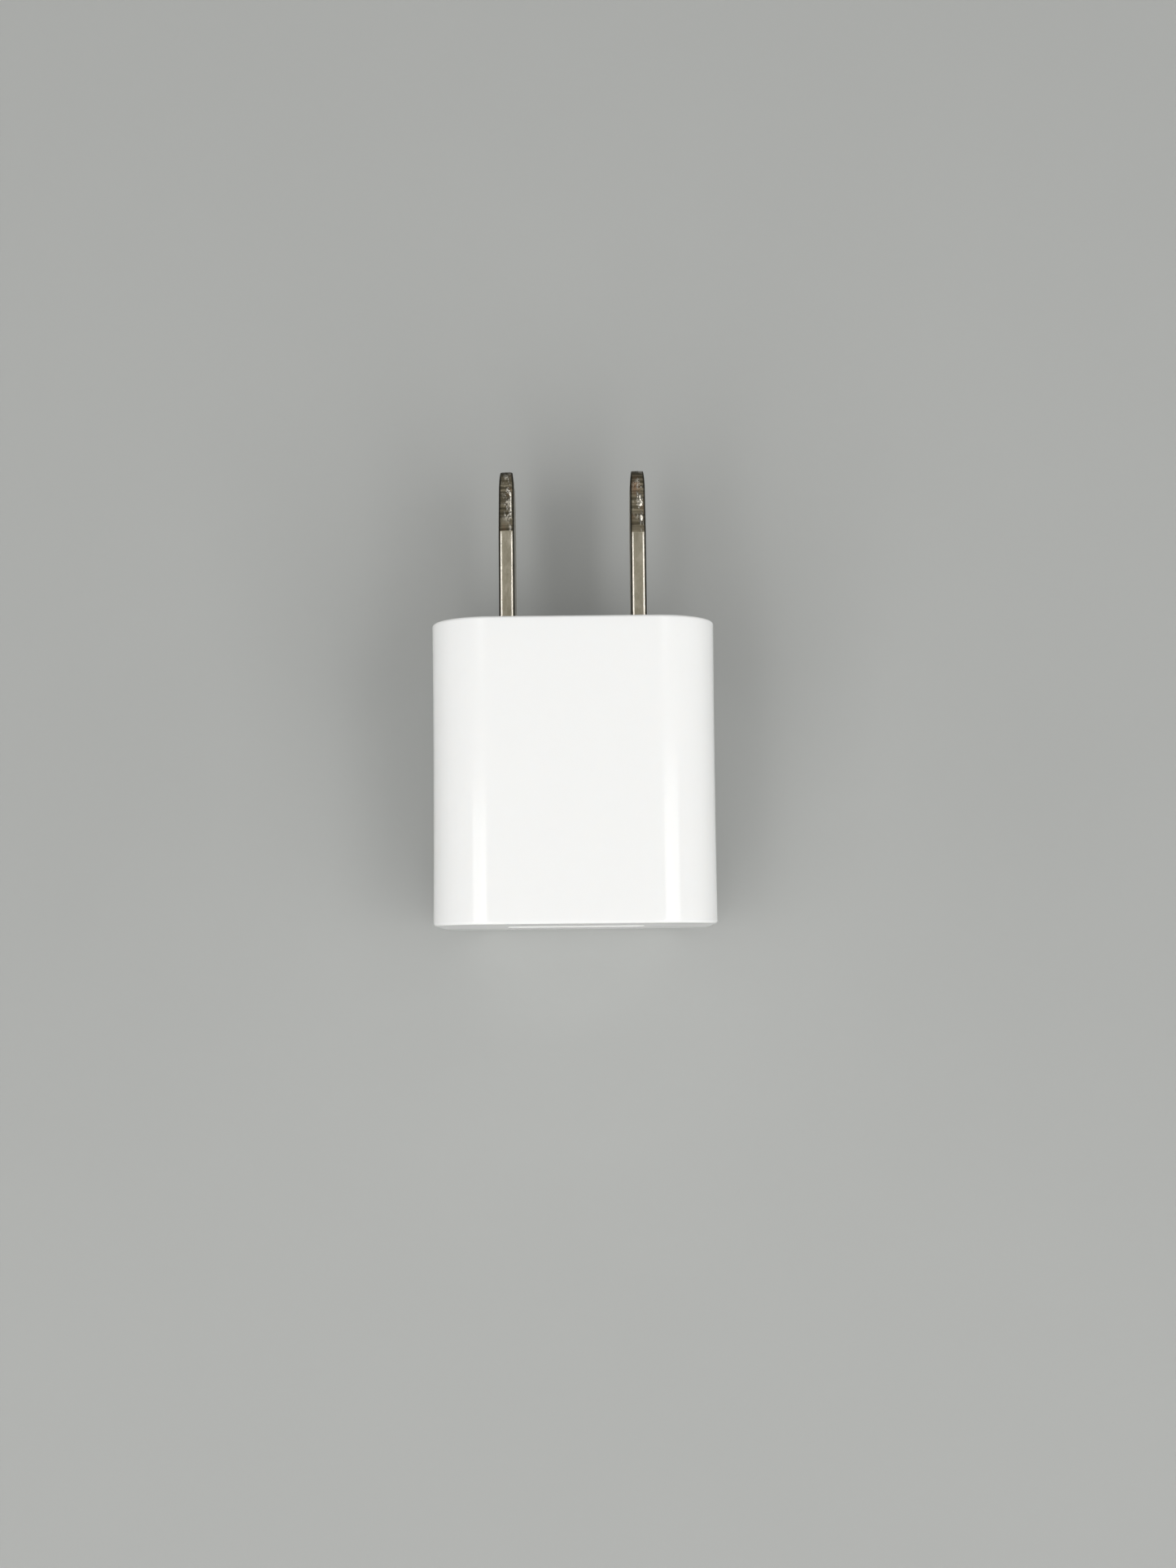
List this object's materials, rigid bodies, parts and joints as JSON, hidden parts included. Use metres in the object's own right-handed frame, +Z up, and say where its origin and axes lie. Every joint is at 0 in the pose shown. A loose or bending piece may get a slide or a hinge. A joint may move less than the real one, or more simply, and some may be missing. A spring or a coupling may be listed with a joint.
{
  "type": "usb wall charger",
  "caption": "Compact glossy wall charger with fixed flat blades, a USB-A port in the opposite face and a complete power supply inside.",
  "frame": {"origin": "bottom centre of the bounding box, on the resting side wall of the casing, under the middle of the overall length including the blades", "axes": "+Z up from the resting side wall, +Y the way the blades point, +X from the left blade to the right blade seen from above"},
  "size_m": [0.0264, 0.0442, 0.0264],
  "materials": {
    "casing": "gloss",
    "blade": "worn satin nickel",
    "board": "solder mask",
    "gold_pins": "plated",
    "port_steel": "satin",
    "port_plastic": "satin",
    "contact": "gold plated",
    "bobbin": "matte",
    "ferrite": "matte",
    "copper_wire": "enamelled",
    "tape": "film",
    "tinned_wire": "tinned",
    "can_sleeve": "shrink sleeve",
    "can_aluminium": "satin",
    "choke_sleeve": "shrink sleeve",
    "resistor_coat": "matte enamel",
    "disc_coat": "dipped",
    "film_box": "dipped",
    "mould_black": "matte",
    "mould_white": "matte",
    "chip_ceramic": "matte",
    "film_sheet": "film",
    "solder": "bright"
  },
  "bodies": {
    "charger": {"main_shell": "casing", "end_cover": "casing", "blade_left": "blade", "blade_right": "blade", "primary_board": "board", "secondary_board": "board", "board_link_pins": "gold_pins", "usb_shell": "port_steel", "usb_insulator": "port_plastic", "usb_contact_tails": "contact", "transformer_bobbin": "bobbin", "transformer_core_front": "ferrite", "transformer_core_rear": "ferrite", "transformer_winding": "copper_wire", "winding_tape": "tape", "core_tape": "tape", "transformer_pins": "tinned_wire", "bulk_capacitor_lower": "can_sleeve", "bulk_capacitor_upper": "can_sleeve", "input_choke": "choke_sleeve", "fusible_resistor": "resistor_coat", "y_capacitor": "disc_coat", "snubber_capacitor": "film_box", "power_transistor": "mould_black", "optocoupler": "mould_white", "bridge_rectifier": "mould_black", "control_ic": "mould_black", "output_capacitor_left": "can_aluminium", "output_capacitor_right": "can_aluminium", "output_rectifier": "mould_black", "regulator_ic": "mould_black", "primary_chips": "chip_ceramic", "secondary_chips": "chip_ceramic", "primary_leads": "tinned_wire", "secondary_leads": "tinned_wire", "insulation_upper": "film_sheet", "insulation_lower": "film_sheet", "solder_primary": "solder", "solder_secondary": "solder"},
    "contact_1": {"contact_spring_1": "contact"},
    "contact_2": {"contact_spring_2": "contact"},
    "contact_3": {"contact_spring_3": "contact"},
    "contact_4": {"contact_spring_4": "contact"},
    "finger_top_left": {"shell_finger_top_left": "port_steel"},
    "finger_bottom_left": {"shell_finger_bottom_left": "port_steel"},
    "finger_top_right": {"shell_finger_top_right": "port_steel"},
    "finger_bottom_right": {"shell_finger_bottom_right": "port_steel"}
  },
  "joints": [
    {"name": "contact_flex_1", "type": "hinge", "parent": "charger", "child": "contact_1", "pos_m": [-0.0035, -0.0109, 0.0138], "axis": [-1, 0, 0], "range_deg": [0, 3.47], "stiffness_Nm_per_rad": 0.054},
    {"name": "contact_flex_2", "type": "hinge", "parent": "charger", "child": "contact_2", "pos_m": [-0.001, -0.0109, 0.0138], "axis": [-1, 0, 0], "range_deg": [0, 3.47], "stiffness_Nm_per_rad": 0.054},
    {"name": "contact_flex_3", "type": "hinge", "parent": "charger", "child": "contact_3", "pos_m": [0.001, -0.0109, 0.0138], "axis": [-1, 0, 0], "range_deg": [0, 3.47], "stiffness_Nm_per_rad": 0.054},
    {"name": "contact_flex_4", "type": "hinge", "parent": "charger", "child": "contact_4", "pos_m": [0.0035, -0.0109, 0.0138], "axis": [-1, 0, 0], "range_deg": [0, 3.47], "stiffness_Nm_per_rad": 0.054},
    {"name": "finger_flex_top_left", "type": "hinge", "parent": "charger", "child": "finger_top_left", "pos_m": [-0.003, -0.0117, 0.01591], "axis": [-1, 0, 0], "range_deg": [0, 2.99], "stiffness_Nm_per_rad": 0.09},
    {"name": "finger_flex_bottom_left", "type": "hinge", "parent": "charger", "child": "finger_bottom_left", "pos_m": [-0.003, -0.0117, 0.01049], "axis": [1, 0, 0], "range_deg": [0, 2.99], "stiffness_Nm_per_rad": 0.09},
    {"name": "finger_flex_top_right", "type": "hinge", "parent": "charger", "child": "finger_top_right", "pos_m": [0.003, -0.0117, 0.01591], "axis": [-1, 0, 0], "range_deg": [0, 2.99], "stiffness_Nm_per_rad": 0.09},
    {"name": "finger_flex_bottom_right", "type": "hinge", "parent": "charger", "child": "finger_bottom_right", "pos_m": [0.003, -0.0117, 0.01049], "axis": [1, 0, 0], "range_deg": [0, 2.99], "stiffness_Nm_per_rad": 0.09}
  ]
}
